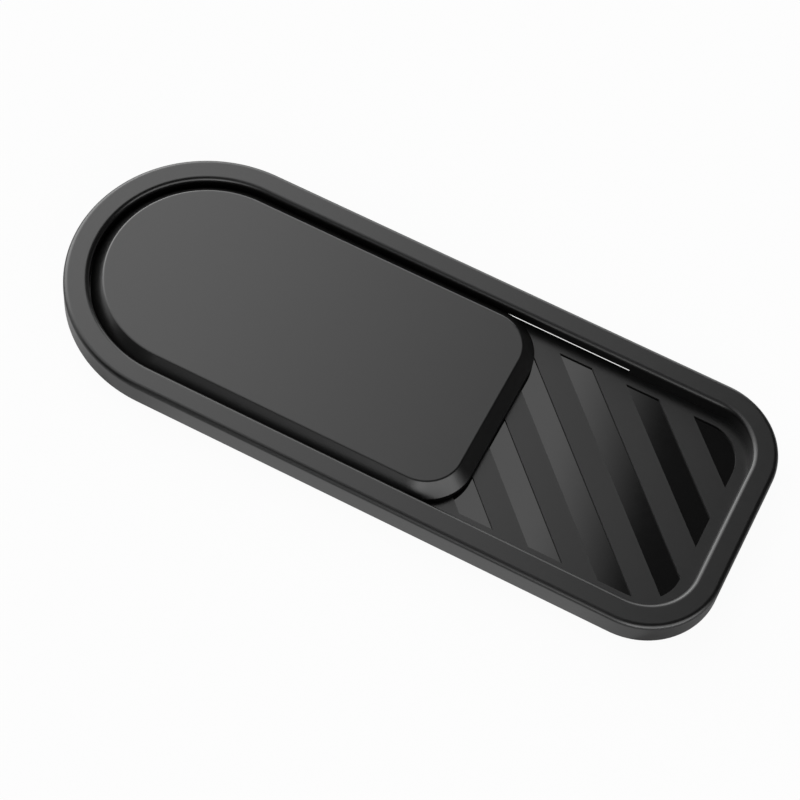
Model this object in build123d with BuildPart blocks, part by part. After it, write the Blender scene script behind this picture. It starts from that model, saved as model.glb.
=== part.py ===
"""Webcam cover slider: a thin D-shaped tray, a bevelled slider that snaps into it and an adhesive pad.

Millimetres, +Z up.  The origin is the middle of the pad's underside, the face that sticks to the screen
frame.  The round end, with the lens window, lies towards -X and the square, striped end towards +X.
The slider is drawn closed, over the lens window, and opens towards +X.
"""
import os
from math import cos, radians, sin

from build123d import *

# Tray moulding
tray_length = 38.0
tray_width = 15.0
tray_height = 1.5
tray_corner = 4.05
rim_width = 1.34
rim_outer_round = 0.27
rim_inner_round = 0.25
floor_thickness = 0.5

# Lens window in the round end of the tray
lens_window_diameter = 9.0

# Adhesive pad under the tray
pad_thickness = 0.15
pad_inset = 1.45
pad_hole_margin = 0.3

# Slider
slider_length = 23.04
slider_proud = 0.05
slider_bevel = 0.675
slider_edge_round = 0.16

# Running clearances between slider and tray
side_gap = 0.05
glide_gap = 0.05

# Snap tabs on the slider's long sides and the guide grooves that hold them
tab_length = 7.0
tab_setback = 7.79
tab_reach = 0.45
tab_thickness = 0.2
tab_lead_in = 0.08
tab_end_round = 0.2
tab_end_gap = 0.1
tab_roof_gap = 0.03
tab_reach_gap = 0.15
guide_ledge = 0.135

# Diagonal striped pockets in the tray floor, polished in the mould
stripe_pitch = 2.7
stripe_width = 1.33
stripe_depth = 0.1
stripe_margin = 0.68
stripe_lead = 1.51
stripe_angle = 45.0
stripe_tuck = 1.43

# Levels from the pad's underside upwards
tray_base_z = pad_thickness
floor_z = tray_base_z + floor_thickness
rim_z = tray_base_z + tray_height
slider_base_z = floor_z + glide_gap
slider_height = rim_z + slider_proud - slider_base_z

# Plan of the recess, which the slider fills from side to side
tray_end = tray_length / 2
tray_half_width = tray_width / 2
recess_end = tray_end - rim_width
recess_half_width = tray_half_width - rim_width
recess_corner = tray_corner - rim_width
lens_x = -tray_end + tray_half_width

# Plan of the slider in its closed place, and how far it can run
slider_left = -recess_end + side_gap
slider_right = slider_left + slider_length
slider_half_width = recess_half_width - side_gap
slider_corner = recess_corner - side_gap
slider_travel = recess_end - side_gap - slider_right

# Tabs and the grooves that they run in
tab_right = slider_right - tab_setback
tab_left = tab_right - tab_length
tab_middle = (tab_left + tab_right) / 2
guide_left = tab_left - tab_end_gap
guide_right = tab_right + slider_travel + tab_end_gap
guide_roof_z = slider_base_z + tab_thickness + tab_roof_gap
guide_outer = slider_half_width + tab_reach + tab_reach_gap
guide_inner = recess_half_width + guide_ledge

# Field of stripes, from under the closed slider to the square end
stripe_right = recess_end - stripe_margin
stripe_left = slider_right - stripe_tuck
stripe_half_width = recess_half_width - stripe_margin
stripe_corner = recess_corner - stripe_margin
stripe_across = (cos(radians(stripe_angle)), sin(radians(stripe_angle)))
stripe_field_depth = (
    (stripe_right - stripe_left) * stripe_across[0] + 2 * stripe_half_width * stripe_across[1]
)
stripe_count = int((stripe_field_depth - stripe_lead) / stripe_pitch) + 1
stripe_run = 2 * (stripe_right - stripe_left + 2 * stripe_half_width)


def d_face(left, right, half_width, corner):
    """D-shaped face: a half circle at the left end and two rounded corners at the right end."""
    arc_x = left + half_width
    with BuildSketch() as face:
        with BuildLine():
            FilletPolyline(
                (arc_x, half_width),
                (right, half_width),
                (right, -half_width),
                (arc_x, -half_width),
                radius=corner,
            )
            ThreePointArc((arc_x, -half_width), (left, 0), (arc_x, half_width))
        make_face()
    return face.sketch


# Tray: one moulding with a rim, a sunk floor, striped pockets, guide grooves and a lens window
with BuildPart() as tray:
    with BuildSketch(Plane.XY.offset(tray_base_z)):
        add(d_face(-tray_end, tray_end, tray_half_width, tray_corner))
    extrude(amount=tray_height)

    with BuildSketch(Plane.XY.offset(floor_z)):
        add(d_face(-recess_end, recess_end, recess_half_width, recess_corner))
    extrude(amount=tray_height, mode=Mode.SUBTRACT)

    rim_face = tray.faces().sort_by(Axis.Z)[-1]
    fillet(rim_face.outer_wire().edges(), rim_outer_round)
    rim_face = tray.faces().sort_by(Axis.Z)[-1]
    fillet(rim_face.inner_wires()[0].edges(), rim_inner_round)

    # Slanted bars, counted back from the far square corner and trimmed to the field's rounded outline
    first_stripe = (
        stripe_right - stripe_lead * stripe_across[0],
        stripe_half_width - stripe_lead * stripe_across[1],
    )
    stripe_middles = [
        (
            first_stripe[0] - index * stripe_pitch * stripe_across[0],
            first_stripe[1] - index * stripe_pitch * stripe_across[1],
        )
        for index in range(stripe_count)
    ]
    with BuildSketch(Plane.XY.offset(floor_z)) as stripes:
        with Locations(*[Location((x, y), stripe_angle) for x, y in stripe_middles]):
            Rectangle(stripe_width, stripe_run)
        with BuildSketch(mode=Mode.INTERSECT) as field:
            with Locations(((stripe_left + stripe_right) / 2, 0)):
                Rectangle(stripe_right - stripe_left, 2 * stripe_half_width)
            fillet(field.vertices().group_by(Axis.X)[-1], stripe_corner)
    extrude(amount=-stripe_depth, mode=Mode.SUBTRACT)

    # Guide groove under the wall with its window through the floor, the same on both long sides
    with BuildSketch(Plane.YZ.offset(guide_left)) as guide:
        with BuildLine():
            Polyline(
                (recess_half_width, floor_z),
                (recess_half_width, guide_roof_z),
                (guide_outer, guide_roof_z),
                (guide_outer, tray_base_z),
                (guide_inner, tray_base_z),
                (guide_inner, floor_z),
                close=True,
            )
        make_face()
        mirror(about=Plane.YZ)
    extrude(amount=guide_right - guide_left, mode=Mode.SUBTRACT)

    with BuildSketch(Plane.XY.offset(tray_base_z)):
        with Locations((lens_x, 0)):
            Circle(lens_window_diameter / 2)
    extrude(amount=floor_thickness, mode=Mode.SUBTRACT)

# Slider: a bevelled D-shaped plate with a thin snap tab on each long side
with BuildPart() as slider:
    with BuildSketch(Plane.XY.offset(slider_base_z)):
        add(d_face(slider_left, slider_right, slider_half_width, slider_corner))
    extrude(amount=slider_height)
    chamfer(slider.faces().sort_by(Axis.Z)[-1].edges(), slider_bevel)
    fillet(slider.faces().sort_by(Axis.Z)[-1].edges(), slider_edge_round)

    with BuildSketch(Plane.XY.offset(slider_base_z)) as tabs:
        with Locations((tab_middle, 0)):
            RectangleRounded(tab_length, 2 * (slider_half_width + tab_reach), tab_end_round)
    extrude(amount=tab_thickness)
    tab_tips = slider.edges().filter_by(Axis.X).group_by(Axis.Z)[1]
    chamfer(tab_tips.sort_by(Axis.Y)[0], tab_lead_in)
    tab_tips = slider.edges().filter_by(Axis.X).group_by(Axis.Z)[1]
    chamfer(tab_tips.sort_by(Axis.Y)[-1], tab_lead_in)

# Adhesive pad: double-sided film, clear of the guide windows and of the lens window
with BuildPart() as adhesive_pad:
    with BuildSketch():
        add(
            d_face(
                -tray_end + pad_inset,
                tray_end - pad_inset,
                tray_half_width - pad_inset,
                tray_corner - pad_inset,
            )
        )
        with Locations((lens_x, 0)):
            Circle(lens_window_diameter / 2 + pad_hole_margin, mode=Mode.SUBTRACT)
    extrude(amount=pad_thickness)

os.makedirs("parts", exist_ok=True)
tray.part.label = "tray"
export_step(tray.part, "parts/tray.step")
slider.part.label = "slider"
export_step(slider.part, "parts/slider.step")
adhesive_pad.part.label = "adhesive_pad"
export_step(adhesive_pad.part, "parts/adhesive_pad.step")
print("slider travel", round(slider_travel, 3), "stripes", stripe_count)
print("guide groove", round(guide_left, 3), round(guide_right, 3), "roof", round(guide_roof_z, 3))
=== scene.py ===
# %% [markdown]
# # A stick-on webcam cover, dressed for its photograph
#
# The real object is a privacy cover for a laptop camera: a thin black tray with a raised rim, a bevelled
# shutter that slides in it, and an adhesive pad below. The CAD model is loaded first and stays fixed. Each
# cell after it makes one piece, finish or lamp around that frame, in metres.

import bmesh
import bpy
import numpy as np
from mathutils import Matrix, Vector
from mathutils.geometry import delaunay_2d_cdt


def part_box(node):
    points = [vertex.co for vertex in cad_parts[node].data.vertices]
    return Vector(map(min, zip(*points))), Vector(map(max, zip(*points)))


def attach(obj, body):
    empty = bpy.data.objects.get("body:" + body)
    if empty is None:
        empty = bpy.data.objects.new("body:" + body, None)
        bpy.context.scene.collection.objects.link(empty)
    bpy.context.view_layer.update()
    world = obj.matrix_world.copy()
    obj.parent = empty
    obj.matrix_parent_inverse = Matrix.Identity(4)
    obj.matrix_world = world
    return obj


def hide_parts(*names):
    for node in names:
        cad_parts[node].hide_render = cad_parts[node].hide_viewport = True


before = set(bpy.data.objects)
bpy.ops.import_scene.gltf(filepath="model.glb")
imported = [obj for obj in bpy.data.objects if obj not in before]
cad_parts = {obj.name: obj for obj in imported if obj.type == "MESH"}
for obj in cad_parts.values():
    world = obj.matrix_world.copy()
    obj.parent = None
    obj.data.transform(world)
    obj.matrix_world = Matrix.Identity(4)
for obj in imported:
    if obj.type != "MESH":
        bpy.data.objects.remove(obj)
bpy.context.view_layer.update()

# %% [markdown]
# ## Sizes
#
# A moulded cover is drawn in millimetres, so the shapes below are worked out in millimetres and turned into
# metres once, when a mesh is made. Overall sizes are read from the frame's boxes. Only the small sizes that
# a box can't tell, such as a rim's width or an edge's round, are written down here.

# %% Sizes from the frame and the moulding's own small sizes
MM = 0.001
tray_low, tray_high = (np.array(corner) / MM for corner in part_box("tray"))
slider_low, slider_high = (np.array(corner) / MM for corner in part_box("slider"))

tray_corner = 4.05
rim_width = 1.34
rim_outer_round = 0.27
rim_inner_round = 0.25
foot_round = 0.02
floor_thickness = 0.5
lens_window_radius = 4.5
side_gap = 0.05

base_z = tray_low[2]
rim_z = tray_high[2]
floor_z = base_z + floor_thickness
recess_end = tray_high[0] - rim_width
recess_half_width = tray_high[1] - rim_width
lens_x = tray_low[0] + tray_high[1]
print("tray", np.round(tray_high - tray_low, 3), "slider", np.round(slider_high - slider_low, 3), "mm")

# %% [markdown]
# ## Tools for moulded skins
#
# A moulding can be modelled by boxes and bevel modifiers, but then the size of each round depends on the
# modifier. Here its skin is worked out instead: a profile, drawn once with its rounds, is carried round the
# plan outline, and flat faces close it. The patches share their border points, so they weld into one shell.


# %% A profile with rounded corners
def rounded_profile(corners, rounds, steps=14, hold=0.02):
    """Polyline of (inset, height) corners with an arc at each inner corner.

    Where the line turns by phi, an arc of radius r touches both runs r * tan(phi / 2) before and after the
    corner. Its centre lies r to the side of the turn. A holding point at each end of the arc keeps the flat
    beside it flat when the shading is smoothed.
    """
    corners = np.asarray(corners, float)
    r = np.asarray(rounds, float)[:, None]
    runs = np.diff(corners, axis=0)
    runs /= np.linalg.norm(runs, axis=1, keepdims=True)
    before, after = runs[:-1], runs[1:]
    cross = before[:, :1] * after[:, 1:] - before[:, 1:] * after[:, :1]
    turn = np.arctan2(cross, np.sum(before * after, axis=1, keepdims=True))
    touch = r * np.tan(np.abs(turn) / 2)
    start = corners[1:-1] - before * touch
    side = np.sign(turn) * before[:, ::-1] * (-1, 1)
    centre = start + r * side
    angle = turn * np.linspace(0, 1, steps + 1)
    spoke = (start - centre)[:, None, :]
    turned = np.stack(
        (
            np.cos(angle) * spoke[..., 0] - np.sin(angle) * spoke[..., 1],
            np.sin(angle) * spoke[..., 0] + np.cos(angle) * spoke[..., 1],
        ),
        axis=-1,
    )
    arcs = centre[:, None, :] + turned
    lead = (start - before * hold)[:, None, :]
    trail = (corners[1:-1] + after * (touch + hold))[:, None, :]
    inner = np.concatenate((lead, arcs, trail), axis=1).reshape(-1, 2)
    return np.vstack((corners[:1], inner, corners[-1:]))


# %% A D outline, and a profile carried round it
def d_path(left, right, half_width, corner, stops, corner_steps=32, arc_steps=128):
    """Points of a D outline, counter-clockwise, with their outward normals.

    An arc's points are its centre plus r * (cos a, sin a), and that direction is the normal. The two long
    sides have points only at the stops, given along X.
    """
    arc_x = left + half_width
    stops = np.sort(np.asarray(stops, float))
    near = np.column_stack((stops, np.full(len(stops), -half_width)))
    down = np.broadcast_to((0.0, -1.0), near.shape)
    arcs = []
    for x, y, radius, begin, end, steps in (
        (right - corner, corner - half_width, corner, -90, 0, corner_steps),
        (right - corner, half_width - corner, corner, 0, 90, corner_steps),
        (arc_x, 0.0, half_width, 90, 270, arc_steps),
    ):
        a = np.radians(np.linspace(begin, end, steps + 1))
        ray = np.column_stack((np.cos(a), np.sin(a)))
        arcs.append((np.array((x, y)) + radius * ray, ray))
    points = np.vstack((near, arcs[0][0], arcs[1][0], near[::-1] * (1, -1), arcs[2][0]))
    normals = np.vstack((down, arcs[0][1], arcs[1][1], -down, arcs[2][1]))
    return points, normals


def carried(points, normals, profile):
    """Grid of a profile carried along a path: P - inset * N in plan, at the profile's height."""
    plan = points[:, None, :] - profile[None, :, :1] * normals[:, None, :]
    height = np.broadcast_to(profile[None, :, 1:], plan.shape[:2] + (1,))
    return np.concatenate((plan, height), axis=2)


def at_height(ring, z):
    """Plan points lifted to the height z."""
    return np.column_stack((ring, np.broadcast_to(z, len(ring))))


# %% A collector that welds the patches into one mesh
class Skin:
    """Patches of one piece, joined by their shared border points into a closed shell."""

    def __init__(self):
        self.points, self.faces, self.finish, self.count = [], [], [], 0

    def add(self, points, faces, finish=0):
        """Takes points (n, 3) in millimetres, faces that number them from 0, and the faces' finish."""
        self.points.append(np.asarray(points, float))
        self.faces += [[self.count + corner for corner in face] for face in faces]
        self.finish += [finish] * len(faces)
        self.count += len(points)

    def grid(self, points, closed=False, leave_out=(), finish=0):
        """Quads between the rows of a (rows, columns, 3) grid; closed joins the last row to the first."""
        rows, columns = points.shape[:2]
        number = np.arange(rows * columns).reshape(rows, columns)
        following = np.roll(number, -1, axis=0)
        kept = np.setdiff1d(np.arange(rows if closed else rows - 1), leave_out)
        a, b = number[kept], following[kept]
        quads = np.stack((a[:, :-1], b[:, :-1], b[:, 1:], a[:, 1:]), axis=-1).reshape(-1, 4)
        self.add(points.reshape(-1, 3), quads.tolist(), finish)

    def wall(self, low, high, closed=True):
        """Upright wall between two rings of the same number of points."""
        self.grid(np.stack((low, high), axis=1), closed)

    def flat(self, rings, z):
        """Level face at z: triangles in the first ring, without the holes that the other rings cut."""
        ends = np.cumsum([len(ring) for ring in rings])
        loops = [list(range(end - len(ring), end)) for ring, end in zip(rings, ends)]
        plan = [point for ring in rings for point in ring.tolist()]
        inside_with_holes, same_point = 2, 1e-7
        found = delaunay_2d_cdt(plan, [], loops, inside_with_holes, same_point)
        self.add(at_height(np.array([tuple(p) for p in found[0]]), z), found[2])

    def mesh(self, name, weld=0.0002 * MM, crisp=32):
        """The welded mesh object, with outward normals; edges over crisp degrees stay sharp."""
        data = bpy.data.meshes.new(name)
        data.from_pydata(np.concatenate(self.points) * MM, [], self.faces)
        data.polygons.foreach_set("material_index", self.finish)
        shell = bmesh.new()
        shell.from_mesh(data)
        bmesh.ops.remove_doubles(shell, verts=shell.verts, dist=weld)
        bmesh.ops.recalc_face_normals(shell, faces=shell.faces)
        open_edges = sum(not edge.is_manifold for edge in shell.edges)
        volume = shell.calc_volume(signed=True) / MM**3
        shell.to_mesh(data)
        shell.free()
        data.polygons.foreach_set("use_smooth", np.ones(len(data.polygons), bool))
        data.set_sharp_from_angle(angle=np.radians(crisp))
        piece = bpy.data.objects.new(name, data)
        bpy.context.scene.collection.objects.link(piece)
        print(name, len(data.polygons), "faces,", round(volume, 1), "mm3,", open_edges, "open edges")
        return piece


# %% [markdown]
# ## Tray
#
# The tray is one thin moulding. Its rim has a rounded outer and inner edge, its floor is sunk 1 mm, and at
# the round end the floor has a window for the lens. A window along each side lets the mould form the
# undercut that the shutter's tabs run in, and the white paper below shows through it as a bright slit. The
# rim is a profile carried round the outline, because its rounds must be equal all the way.

# %% Guide grooves, from the place of the shutter's tabs
tab_length = 7.0
tab_setback = 7.79
tab_thickness = 0.2
tab_end_gap = 0.1
tab_roof_gap = 0.03
tab_reach_gap = 0.15
guide_ledge = 0.135

tab_right = slider_high[0] - tab_setback
tab_left = tab_right - tab_length
slider_travel = recess_end - side_gap - slider_high[0]
guide_left = tab_left - tab_end_gap
guide_right = tab_right + slider_travel + tab_end_gap
guide_roof_z = slider_low[2] + tab_thickness + tab_roof_gap
guide_outer = slider_high[1] + tab_reach_gap
guide_inner = recess_half_width + guide_ledge
print("guides", round(guide_left, 2), "to", round(guide_right, 2), "mm, travel", round(slider_travel, 2))

# %% Rim, walls and grooves
tray_skin = Skin()
tray_path, tray_normals = d_path(
    tray_low[0], tray_high[0], tray_high[1], tray_corner, stops=(guide_left, guide_right)
)
near_groove = 0
far_groove = int(np.flatnonzero(np.isclose(tray_path[:, 0], guide_right))[-1])

foot_inset = 0.3
rim_profile = rounded_profile(
    [(foot_inset, base_z), (0, base_z), (0, rim_z), (rim_width, rim_z), (rim_width, guide_roof_z)],
    [foot_round, rim_outer_round, rim_inner_round],
)
tray_skin.grid(carried(tray_path, tray_normals, rim_profile), closed=True)

foot_of_wall = np.array([(rim_width, guide_roof_z), (rim_width, floor_z)])
grooves = (near_groove, far_groove)
tray_skin.grid(carried(tray_path, tray_normals, foot_of_wall), closed=True, leave_out=grooves)

for side in (-1, 1):
    section = np.array(
        [
            (recess_half_width, floor_z),
            (recess_half_width, guide_roof_z),
            (guide_outer, guide_roof_z),
            (guide_outer, base_z),
            (guide_inner, base_z),
            (guide_inner, floor_z),
        ]
    ) * (side, 1)
    ends = [np.insert(section, 0, x, axis=1) for x in (guide_left, guide_right)]
    tray_skin.grid(np.stack(ends)[:, 1:4])
    tray_skin.grid(np.stack(ends)[:, 4:6])
    for end in ends:
        tray_skin.add(end, [list(range(len(section)))])
print("rim profile", len(rim_profile), "points, path", len(tray_path), "points")

# %% [markdown]
# ## Striped floor
#
# Beside the shutter the floor carries slanted stripes, sunk a tenth of a millimetre and polished in the
# mould, so they mirror the lamps while the land between them stays satin. A stripe is a band across a field
# with two rounded corners. For each line across the band, the two points where it leaves the field give the
# stripe's outline, and the face between them is a grid of those lines.

# %% Stripes across a rounded field
stripe_pitch = 2.7
stripe_width = 1.33
stripe_depth = 0.1
stripe_margin = 0.68
stripe_lead = 1.51
stripe_tuck = 1.43
lines_per_stripe = 33

field_low = np.array((slider_high[0] - stripe_tuck, stripe_margin - recess_half_width))
field_high = np.array((recess_end, recess_half_width)) - stripe_margin
field_round = tray_corner - rim_width - stripe_margin
slope = np.sqrt(0.5)
stripe_run = np.array((slope, -slope))
field_depth = np.sum(field_high - field_low) * slope
stripe_middles = np.arange(stripe_lead, field_depth, stripe_pitch)


def outside_field(p):
    """Distance by which points lie outside the field: a box with its two right corners rounded."""
    middle = (field_low + field_high) / 2
    offset = p - middle
    rounding = np.where(offset[..., 0] > 0, field_round, 0.0)[..., None]
    beyond = np.abs(offset) - (field_high - field_low) / 2 + rounding
    corner = np.linalg.norm(np.maximum(beyond, 0), axis=-1)
    return corner + np.minimum(beyond.max(axis=-1), 0) - rounding[..., 0]


def field_edge(depth, direction, halvings=40):
    """Where lines at these depths from the far corner leave the field, found by halving an interval."""
    start = field_high - depth[:, None] / field_depth * (field_high - field_low)
    inside, outside = np.zeros(len(depth)), np.full(len(depth), field_depth * 2)
    for _ in range(halvings):
        trial = (inside + outside) / 2
        within = outside_field(start + trial[:, None] * direction) < 0
        inside, outside = np.where(within, trial, inside), np.where(within, outside, trial)
    return start + inside[:, None] * direction


square_corner = (field_high[0] - field_low[0]) * slope
pocket_z = floor_z - stripe_depth
pocket_rings = []
for middle in stripe_middles:
    depth = np.linspace(middle - stripe_width / 2, middle + stripe_width / 2, lines_per_stripe)
    if depth[0] < square_corner < depth[-1]:
        depth = np.sort(np.append(depth, square_corner))
    upper, lower = field_edge(depth, -stripe_run), field_edge(depth, stripe_run)
    ring = np.vstack((upper, lower[::-1]))
    pocket_rings.append(ring)
    tray_skin.wall(at_height(ring, floor_z), at_height(ring, pocket_z))
    tray_skin.grid(np.stack((at_height(upper, pocket_z), at_height(lower, pocket_z)), axis=1), finish=1)
print(len(pocket_rings), "polished stripes,", stripe_width, "mm wide")

# %% Floor, lens window and underside
lens_steps = 144
turn = np.radians(np.linspace(0, 360, lens_steps + 1)[:-1])
lens_ring = np.column_stack((np.cos(turn), np.sin(turn))) * lens_window_radius + (lens_x, 0)
tray_skin.wall(at_height(lens_ring, base_z), at_height(lens_ring, floor_z))

ledge = np.array([(guide_left, -guide_inner), (guide_right, -guide_inner)])
floor_ring = tray_path - rim_width * tray_normals
floor_ring = np.insert(floor_ring, [far_groove + 1] * 2, ledge[::-1] * (1, -1), axis=0)
floor_ring = np.insert(floor_ring, [near_groove + 1] * 2, ledge, axis=0)
tray_skin.flat([floor_ring, lens_ring, *pocket_rings], floor_z)

window = np.array(
    [
        (guide_left, guide_inner),
        (guide_right, guide_inner),
        (guide_right, guide_outer),
        (guide_left, guide_outer),
    ]
)
foot_ring = tray_path - foot_inset * tray_normals
tray_skin.flat([foot_ring, lens_ring, window, window * (1, -1)], base_z)
tray_shell = tray_skin.mesh("tray_shell")

# %% [markdown]
# ## Shutter
#
# The shutter is a plate with a broad 45 degree bevel that the finger pushes against. It shares the tray's D
# outline, less a running gap. On each long side a thin tab, rounded at its ends and eased along its upper
# edge, snaps into the groove. The bevel is carried round the outline like the rim, and the tabs grow out of
# the same wall, so the piece stays one shell.

# %% Bevelled plate
slider_bevel = 0.675
slider_edge_round = 0.16
bevel_foot_round = 0.04
cap_inset = 0.9

slider_half_width = recess_half_width - side_gap
slider_corner = tray_corner - rim_width - side_gap
slider_base_z, slider_top_z = slider_low[2], slider_high[2]
tab_top_z = slider_base_z + tab_thickness
bevel_z = slider_top_z - slider_bevel

slider_skin = Skin()
slider_path, slider_normals = d_path(
    side_gap - recess_end, slider_high[0], slider_half_width, slider_corner, stops=(tab_left, tab_right)
)
near_tab = 0
far_tab = int(np.flatnonzero(np.isclose(slider_path[:, 0], tab_right))[-1])
bevel_profile = rounded_profile(
    [(0, tab_top_z), (0, bevel_z), (slider_bevel, slider_top_z), (cap_inset, slider_top_z)],
    [bevel_foot_round, slider_edge_round],
)
slider_skin.grid(carried(slider_path, slider_normals, bevel_profile), closed=True)
slider_skin.flat([slider_path - cap_inset * slider_normals], slider_top_z)
skirt = np.array([(0, slider_base_z), (0, tab_top_z)])
slider_skin.grid(carried(slider_path, slider_normals, skirt), closed=True, leave_out=(near_tab, far_tab))
print("bevel from", round(bevel_z, 2), "to", round(slider_top_z, 2), "mm")

# %% Snap tabs and underside
tab_end_round = 0.2
tab_lead_in = 0.08
tab_corner_steps = 12
quarter = np.radians(np.linspace(180, 90, tab_corner_steps + 1))
tab_rays = np.column_stack((np.cos(quarter), np.sin(quarter)))
tab_rays = np.vstack((tab_rays[:1], tab_rays, tab_rays[::-1] * (-1, 1), tab_rays[:1] * (-1, 1)))
tab_tip = slider_high[1]
tab_centres = np.array(
    [(tab_left + tab_end_round, slider_half_width)]
    + [(tab_left + tab_end_round, tab_tip - tab_end_round)] * len(quarter)
    + [(tab_right - tab_end_round, tab_tip - tab_end_round)] * len(quarter)
    + [(tab_right - tab_end_round, slider_half_width)]
)
tab_outline = tab_centres + tab_end_round * tab_rays
easing = tab_lead_in * tab_rays[:, 1:]
underside = slider_path
for side, gap in ((1, far_tab), (-1, near_tab)):
    outline, eased = tab_outline * (1, side), (tab_outline - easing * tab_rays) * (1, side)
    brim = at_height(outline, tab_top_z - easing[:, 0])
    slider_skin.wall(at_height(outline, slider_base_z), brim, closed=False)
    slider_skin.wall(brim, at_height(eased, tab_top_z), closed=False)
    slider_skin.flat([eased], tab_top_z)
    outline = outline[1:-1] if side < 0 else outline[-2:0:-1]
    underside = np.insert(underside, [gap + 1] * len(outline), outline, axis=0)
slider_skin.flat([underside], slider_base_z)
slider_shell = slider_skin.mesh("slider_shell")

# %% [markdown]
# ## Riding on the frame
#
# Each shell stands for its CAD node, which is hidden, and moves with its body. The
# adhesive pad is a plain film whose CAD shape is already right, so it stays and only gets a finish.

# %% Ties to the CAD bodies
for piece, node, body, slot in (
    (tray_shell, "tray", "base", "tray_plastic"),
    (slider_shell, "slider", "shutter", "slider_plastic"),
):
    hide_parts(node)
    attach(piece, body)
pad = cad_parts["adhesive_pad"]
print("pieces", tray_shell.name, slider_shell.name, "and the node", pad.name)

# %% [markdown]
# ## Finishes
#
# Both mouldings are satin black plastic. The grey that one sees on it is mostly the lamps, mirrored softly
# by a fine spark-eroded grain, and only a little is the colour of the plastic itself. An image texture
# could show this, but noise read in Object coordinates has no seams and stays sharp at any distance. The
# floor of the stripes has the same colour and mirrors more, because the mould was polished there. Those
# faces carry the number of the tray's second finish.


# %% A node in one line
def wire(tree, kind, inputs, **settings):
    """Adds a node. inputs maps a socket to a value, or to another node's output that is linked to it."""
    node = tree.nodes.new(kind)
    for name, value in settings.items():
        setattr(node, name, value)
    for socket, value in inputs.items():
        if isinstance(value, bpy.types.NodeSocket):
            tree.links.new(value, node.inputs[socket])
        else:
            node.inputs[socket].default_value = value
    return node.outputs


def two_tones(tree, factor, dark, light):
    """Colour that runs from dark to light as the factor goes from 0 to 1."""
    ramp = tree.nodes.new("ShaderNodeValToRGB")
    for stop, colour in zip(ramp.color_ramp.elements, (dark, light)):
        stop.color = (*colour, 1)
    tree.links.new(factor, ramp.inputs["Fac"])
    return ramp.outputs["Color"]


def noise(tree, place, size_mm, detail=2.0):
    """Noise from 0 to 1 with features about this many millimetres across."""
    grain = {"Vector": place, "Scale": 1 / (size_mm * MM), "Detail": detail}
    return wire(tree, "ShaderNodeTexNoise", grain)["Fac"]


# %% Satin black plastic, polished black plastic and adhesive film
def black_finish(name, dark, light, roughness, mottle, grain_mm, grain_height_mm, specular):
    """Principled shader whose colour, roughness and bump come from noise in Object coordinates.

    Colour runs between two blacks along slow flow marks, roughness is the given one plus or minus the
    mottle, and the grain is a bump of the given height. A specular of 0.5 mirrors 4 percent head-on.
    """
    material = bpy.data.materials.new(name)
    material.use_nodes = True
    tree = material.node_tree
    shader = tree.nodes["Principled BSDF"].inputs
    shader["Specular IOR Level"].default_value = specular
    place = wire(tree, "ShaderNodeTexCoord", {})["Object"]
    tree.links.new(two_tones(tree, noise(tree, place, flow_mark_mm), dark, light), shader["Base Color"])
    patches = noise(tree, place, mottle_mm)
    rough = {"Value": patches, "To Min": roughness - mottle, "To Max": roughness + mottle}
    tree.links.new(wire(tree, "ShaderNodeMapRange", rough)["Result"], shader["Roughness"])
    grain = {"Height": noise(tree, place, grain_mm), "Distance": grain_height_mm * MM}
    tree.links.new(wire(tree, "ShaderNodeBump", grain)["Normal"], shader["Normal"])
    return material


flow_mark_mm = 4.0
mottle_mm = 0.4
plastic = dict(dark=(0.001, 0.001, 0.001), light=(0.002, 0.002, 0.002))
satin = dict(plastic, roughness=0.3, mottle=0.02, grain_mm=0.06, grain_height_mm=0.0004, specular=0.55)
polished = dict(plastic, roughness=0.06, mottle=0.01, grain_mm=0.5, grain_height_mm=0.00005, specular=0.67)
rubbery = dict(dark=(0.012, 0.012, 0.012), light=(0.02, 0.02, 0.02))
film = dict(rubbery, roughness=0.5, mottle=0.08, grain_mm=0.3, grain_height_mm=0.004, specular=0.5)
for piece, looks in (
    (tray_shell, {"tray_satin_black": satin, "tray_polished_black": polished}),
    (slider_shell, {"slider_satin_black": satin}),
    (pad, {"adhesive_film_black": film}),
):
    if piece.data.materials:
        piece.data.materials.clear()
    for name, look in looks.items():
        piece.data.materials.append(black_finish(name, **look))
print("finishes", sorted(material.name for material in bpy.data.materials))

# %% [markdown]
# ## Floor
#
# The product is shown on pure white. Blasting a floor with light until it clips would also wash out the
# object, so the paper keeps its plain lit look for the light that it throws back, and adds a white glow
# that only the camera and mirrored rays see. The share of the lit paper that stays keeps the object's
# shadow. A strip of the same paper lies along the near side, and in mirrored rays its glow is nearly
# white. It throws back no more light than the floor, so the bright band that the near wall mirrors from it
# is a painted reflection, put there because the near wall would otherwise mirror only the shadow at its
# foot. Towards its ends it is mirrored more and more like the floor, so the wall shows no edge of it. The
# floor lies a hair below the pad, since two faces at the same height would flicker into each other.

# %% Place of the floor and the card
paper_white = 0.5
camera_share = 0.95
floor_mirror_share = 0.08
# share of the card's glow in mirrored rays: a painted reflection on the near wall
card_mirror_share = 0.86
floor_reach = 10.0 / MM
floor_drop = 0.01
card_left, card_right, card_near, card_far = -15.0, 19.0, tray_low[1] - 1.2, tray_low[1] + 0.1
card_fade = 6.0


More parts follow.
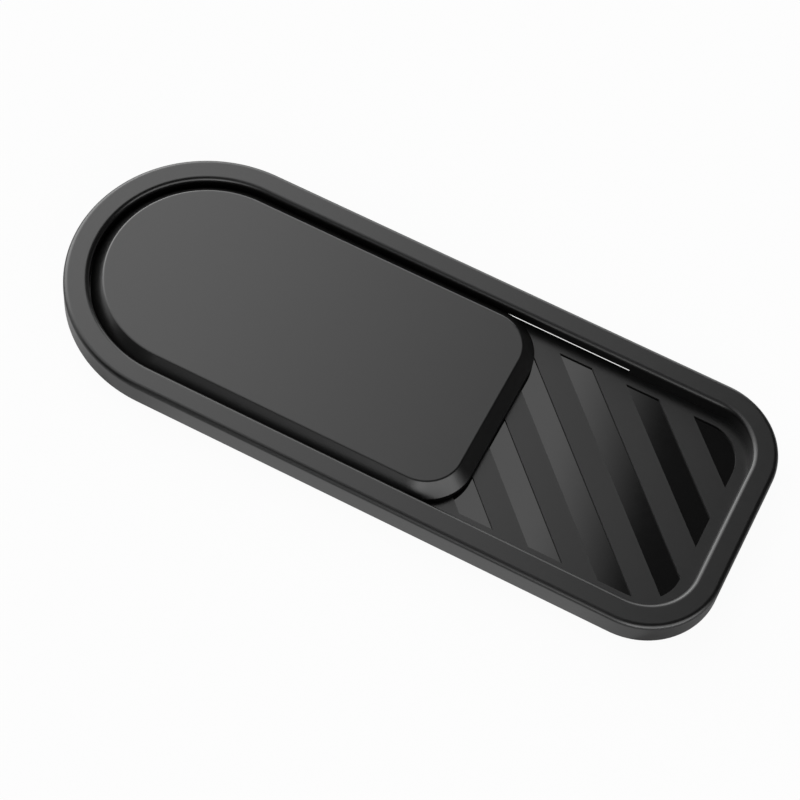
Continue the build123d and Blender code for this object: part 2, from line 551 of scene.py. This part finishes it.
# %% White paper
def card_share(tree):
    """Share of the card's glow in mirrored rays: highest in its middle, the floor's at both ends."""
    place = wire(tree, "ShaderNodeTexCoord", {})["Object"]
    along = wire(tree, "ShaderNodeSeparateXYZ", {"Vector": place})["X"]
    middle, half_length = (card_left + card_right) / 2, (card_right - card_left) / 2
    offset = wire(tree, "ShaderNodeMath", {0: along, 1: middle * MM}, operation="SUBTRACT")["Value"]
    offset = wire(tree, "ShaderNodeMath", {0: offset}, operation="ABSOLUTE")["Value"]
    fade = {
        "Value": offset,
        "From Min": half_length * MM,
        "From Max": (half_length - card_fade) * MM,
        "To Min": floor_mirror_share,
        "To Max": card_mirror_share,
    }
    return wire(tree, "ShaderNodeMapRange", fade)["Result"]


def white_paper(name, fades):
    """Diffuse paper mixed with a white glow, whose share differs for camera and mirrored rays."""
    paper = bpy.data.materials.new(name)
    paper.use_nodes = True
    tree = paper.node_tree
    tree.nodes.clear()
    mirror_share = card_share(tree) if fades else floor_mirror_share
    ray = wire(tree, "ShaderNodeLightPath", {})
    bent = {0: ray["Is Glossy Ray"], 1: ray["Is Transmission Ray"]}
    bent = wire(tree, "ShaderNodeMath", bent, operation="ADD")
    seen = {0: ray["Is Camera Ray"], 1: camera_share}
    seen = wire(tree, "ShaderNodeMath", seen, operation="MULTIPLY")
    share = {0: bent["Value"], 1: mirror_share, 2: seen["Value"]}
    share = wire(tree, "ShaderNodeMath", share, operation="MULTIPLY_ADD", use_clamp=True)
    lit = wire(tree, "ShaderNodeBsdfDiffuse", {"Color": (paper_white, paper_white, paper_white, 1)})
    glow = wire(tree, "ShaderNodeEmission", {"Color": (1, 1, 1, 1), "Strength": 1.0})
    surface = wire(tree, "ShaderNodeMixShader", {0: share["Value"], 1: lit["BSDF"], 2: glow["Emission"]})
    wire(tree, "ShaderNodeOutputMaterial", {"Surface": surface["Shader"]})
    return paper


# %% Floor, and the card whose glow paints a reflection on the near wall
for name, left, right, near, far, level, fades in (
    ("studio_floor", -floor_reach, floor_reach, -floor_reach, floor_reach, -floor_drop, False),
    # this card glows in mirrored rays only, and gives the near wall a painted reflection
    ("glowing_reflection_card", card_left, card_right, card_near, card_far, 0.0, True),
):
    sheet_data = bpy.data.meshes.new(name)
    sheet_plan = np.array([(left, near), (right, near), (right, far), (left, far)])
    sheet_data.from_pydata(at_height(sheet_plan, level) * MM, [], [(0, 1, 2, 3)])
    sheet_data.materials.append(white_paper(name + "_paper", fades))
    sheet = bpy.data.objects.new(name, sheet_data)
    bpy.context.scene.collection.objects.link(sheet)
    print(name, round((right - left) * MM, 3), "by", round((far - near) * MM, 4), "m")

# %% [markdown]
# ## Lamps
#
# Black plastic shows its lamps more than its colour, so the lamps were placed by what each edge mirrors. A
# large key softbox leans over the left side, from the horizon almost to the zenith. Like a real one it
# fades along its edge, and the polished stripes show that fade as a change from grey to black. The left
# and low softboxes in front of it add to its lower part, so flat faces get lighter towards the round end.
# Low panels stand behind, at the right and at the front right, where they light the rounds and the bevel's
# corner, with a strip near the floor. A weak panel and a strip stand in front, a little to the right, so
# the near edge gets lighter towards the square end. Together they light a flat white card to about white.


# %% Softboxes
def softbox(name, centre, facing, along, width, height, radiance, fade=0.0):
    """Rectangular lamp at centre that shines along facing; its width runs along the given direction.

    A surface of radiance L that shines evenly gives L * pi watts for each square metre. Over the given
    share of its height, next to the upper edge, the lamp fades to nothing.
    """
    z = -np.asarray(facing, float) / np.linalg.norm(facing)
    x = np.asarray(along, float) - np.dot(along, z) * z
    x /= np.linalg.norm(x)
    lamp = bpy.data.lights.new(name, "AREA")
    lamp.shape = "RECTANGLE"
    lamp.size, lamp.size_y = width, height
    lamp.energy = radiance * np.pi * width * height
    if fade:
        lamp.use_nodes = True
        tree = lamp.node_tree
        place = wire(tree, "ShaderNodeNewGeometry", {})["Parametric"]
        level = wire(tree, "ShaderNodeSeparateXYZ", {"Vector": place})["Y"]
        glow = wire(tree, "ShaderNodeMapRange", {"Value": level, "From Min": 0.0, "From Max": fade})
        tree.links.new(glow["Result"], tree.nodes["Emission"].inputs["Strength"])
    holder = bpy.data.objects.new(name, lamp)
    turn = np.column_stack((x, np.cross(z, x), z, centre))
    holder.matrix_world = Matrix(np.vstack((turn, (0, 0, 0, 1))).tolist())
    holder.visible_camera = False
    bpy.context.scene.collection.objects.link(holder)
    print(name, round(lamp.energy, 2), "W over", round(width, 2), "by", round(height, 2), "m")


def toward(azimuth, elevation):
    """Unit vector at this azimuth from +X towards +Y and this elevation, in degrees."""
    a, e = np.radians((azimuth, elevation))
    return np.array((np.cos(a) * np.cos(e), np.sin(a) * np.cos(e), np.sin(e)))


panel_distance = 1.0
key_turn, key_lean = 12.71, 45
key_axis = toward(180 + key_turn, key_lean)
key_rise = toward(key_turn, 90 - key_lean)
key_back = toward(90 + key_turn, 0)
for name, distance, low, high, front, far, radiance, fade in (
    ("key_softbox", 1.0, -0.92, 1.158, 0.4, 3.0, 1.41, 0.052),
    ("left_softbox", 0.9, -0.92, 0.75, -0.32, 1.6, 1.26, 0.0),
    ("low_softbox", 0.8, -0.92, 0.22, 0.1, 1.7, 2.1, 0.0),
):
    centre = key_axis + key_rise * (low + high) / 2 + key_back * (front + far) / 2
    width, height = distance * (far - front), distance * (high - low)
    softbox(name, distance * centre, -key_axis, key_back, width, height, radiance, fade)
for name, azimuth, elevation, wide, tall, radiance in (
    ("back_panel", 111, 16, 46, 34, 2.5),
    ("front_right_panel", -38, 22, 76, 42, 2.45),
    ("front_right_strip", -40, 5, 60, 10, 3.8),
    ("right_panel", 3, 11, 18, 22, 1.2),
    ("front_panel", 276, 34, 38, 36, 0.68),
    ("front_strip", 280, 12, 34, 20, 2.5),
):
    direction = toward(azimuth, elevation)
    width, height = 2 * panel_distance * np.tan(np.radians((wide, tall)) / 2)
    softbox(name, panel_distance * direction, -direction, toward(azimuth + 90, 0), width, height, radiance)

# %% Weak light from all round, and plain colours
room_light = 0.06
world = bpy.data.worlds.new("studio")
bpy.context.scene.world = world
world.use_nodes = True
room = world.node_tree.nodes["Background"].inputs
room["Color"].default_value = (1, 1, 1, 1)
room["Strength"].default_value = room_light
bpy.context.scene.view_settings.view_transform = "Standard"
print("room light", room_light, "view transform", bpy.context.scene.view_settings.view_transform)

# %% [markdown]
# ## Camera
#
# The photograph looks down steeply from the front right, with the picture turned a little. A pinhole camera
# fitted to the tray's outline gave its place, its turn and its angle of view.

# %% Camera at the photograph's angle
azimuth, elevation, roll = np.radians((18.87, 59.962, 9.069))
aim_mm = np.array((0.452, -1.667, rim_z))
distance_mm = 118.19
view_angle = np.radians(19.436)
back = np.array(
    (np.sin(azimuth) * np.cos(elevation), -np.cos(azimuth) * np.cos(elevation), np.sin(elevation))
)
level = np.array((np.cos(azimuth), np.sin(azimuth), 0))
rise = np.cross(back, level)
right = np.cos(roll) * level + np.sin(roll) * rise
up = np.cos(roll) * rise - np.sin(roll) * level
eye = (aim_mm + distance_mm * back) * MM
camera_data = bpy.data.cameras.new("photo_camera")
camera_data.lens = camera_data.sensor_width / 2 / np.tan(view_angle / 2)
camera_data.clip_start = 1 * MM
camera = bpy.data.objects.new("photo_camera", camera_data)
pose = np.vstack((np.column_stack((right, up, back, eye)), (0, 0, 0, 1)))
camera.matrix_world = Matrix(pose.tolist())
bpy.context.scene.collection.objects.link(camera)
bpy.context.scene.camera = camera
print("camera", np.round(eye / MM, 1), "mm, lens", round(camera_data.lens, 2), "mm")
